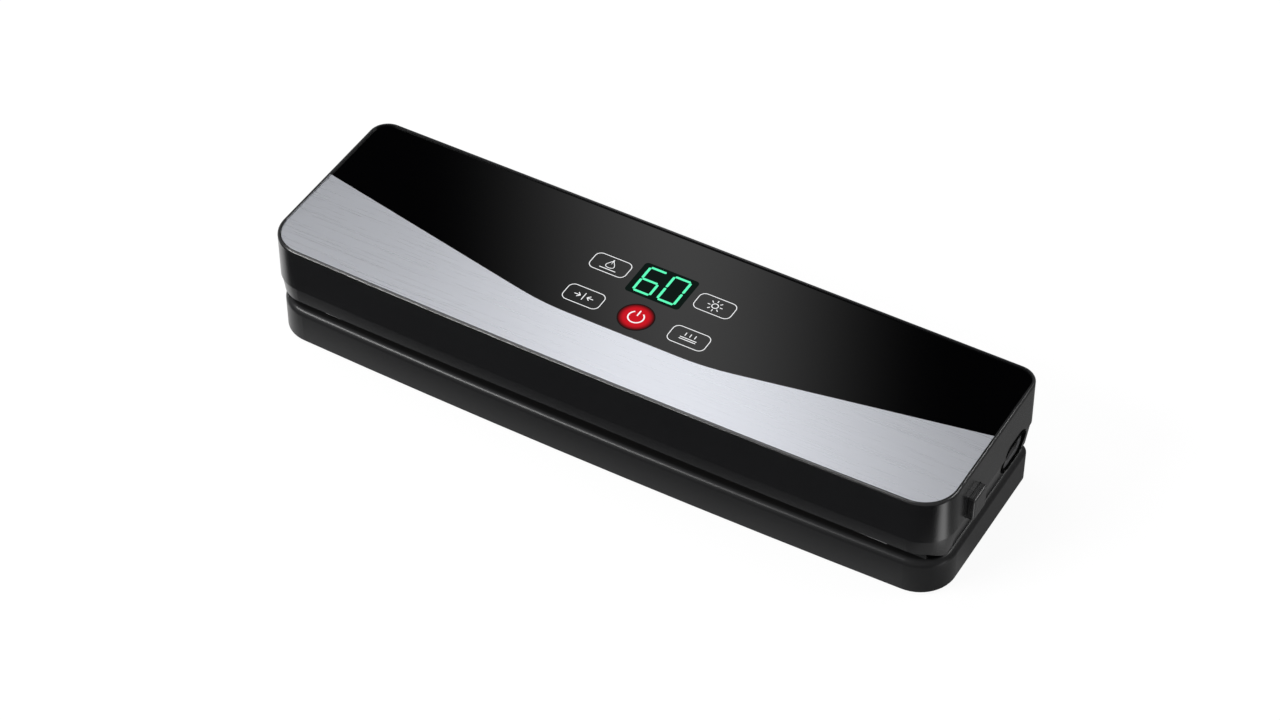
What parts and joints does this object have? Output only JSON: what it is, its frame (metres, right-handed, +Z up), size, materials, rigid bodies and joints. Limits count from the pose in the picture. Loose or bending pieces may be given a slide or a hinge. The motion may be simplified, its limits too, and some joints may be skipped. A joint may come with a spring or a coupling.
{
  "type": "vacuum sealer",
  "caption": "Long low countertop vacuum sealer: a hinged head with gloss black touch panel and brushed steel front inlay over a shallow base, with a bag slot along the front.",
  "frame": {"origin": "on the table under the middle of the machine's outline", "axes": "+X along the machine to its right end, -Y to the front with the bag slot, +Z up"},
  "size_m": [0.3774, 0.1086, 0.0625],
  "materials": {
    "shell_black": "fine satin moulding",
    "panel_black": "high gloss",
    "window_smoke": "high gloss, smoked",
    "inlay_steel": "brushed along X",
    "display_face": "matt",
    "board_green": "solder mask",
    "pad_foam": "conductive foam",
    "component_black": "matt",
    "screw_steel": "plated steel",
    "heater_resin": "phenolic resin",
    "heater_steel": "resistance ribbon",
    "heater_cloth": "coated glass cloth",
    "brass": "plain",
    "strip_silicone": "silicone",
    "gasket_foam": "foam rubber",
    "foot_rubber": "matt",
    "motor_steel": "zinc plated",
    "pump_plastic": "moulded",
    "transformer_tape": "wrapped tape",
    "hose_silicone": "silicone tube",
    "lead_blue": "insulation",
    "lead_red": "insulation"
  },
  "bodies": {
    "base": {"base_deck": "shell_black", "base_plate": "shell_black", "trough_liner": "shell_black", "foot_front_left": "foot_rubber", "foot_front_right": "foot_rubber", "foot_rear_left": "foot_rubber", "foot_rear_right": "foot_rubber", "base_screws": "screw_steel", "press_strip": "strip_silicone", "lower_gasket": "gasket_foam", "hinge_pin_left": "screw_steel", "hinge_pin_right": "screw_steel"},
    "head": {"board_screws": "screw_steel", "buzzer": "component_black", "capacitor": "component_black", "control_board": "board_green", "control_panel": "panel_black", "display_module": "display_face", "display_window": "window_smoke", "head_lower_shell": "shell_black", "head_screws": "screw_steel", "head_upper_shell": "shell_black", "heater_holder": "heater_resin", "heater_leads": "lead_red", "heater_ribbon": "heater_steel", "heater_tape": "heater_cloth", "heater_terminal_left": "brass", "heater_terminal_right": "brass", "inlet_bezel": "shell_black", "inlet_pins": "brass", "latch_spring_left": "screw_steel", "latch_spring_right": "screw_steel", "mains_leads": "lead_blue", "motor_leads": "lead_red", "power_board": "board_green", "power_inlet": "component_black", "pump_block_housing": "pump_plastic", "pump_cover": "pump_plastic", "pump_diaphragm": "foot_rubber", "pump_motor": "motor_steel", "pump_saddle": "pump_plastic", "relay": "component_black", "release_valve": "component_black", "steel_inlay": "inlay_steel", "suction_port": "pump_plastic", "touch_pads": "pad_foam", "transformer": "transformer_tape", "upper_gasket": "gasket_foam", "vacuum_hose": "hose_silicone", "vent_hose": "hose_silicone"},
    "release_left": {"release_button_left": "shell_black"},
    "release_right": {"release_button_right": "shell_black"},
    "crank": {"pump_crank": "screw_steel"}
  },
  "joints": [
    {"name": "head_hinge", "type": "hinge", "parent": "base", "child": "head", "pos_m": [0, 0.046, 0.0235], "axis": [-1, 0, 0], "range_deg": [0, 60]},
    {"name": "release_left_press", "type": "slide", "parent": "head", "child": "release_left", "axis": [1, 0, 0], "range_m": [0, 0.0025], "stiffness_N_per_m": 600, "deforming": ["latch_spring_left"]},
    {"name": "release_right_press", "type": "slide", "parent": "head", "child": "release_right", "axis": [-1, 0, 0], "range_m": [0, 0.0025], "stiffness_N_per_m": 600, "deforming": ["latch_spring_right"]},
    {"name": "crank_spin", "type": "hinge", "parent": "head", "child": "crank", "pos_m": [0.084, 0.008, 0.0413], "axis": [1, 0, 0], "continuous": true}
  ]
}
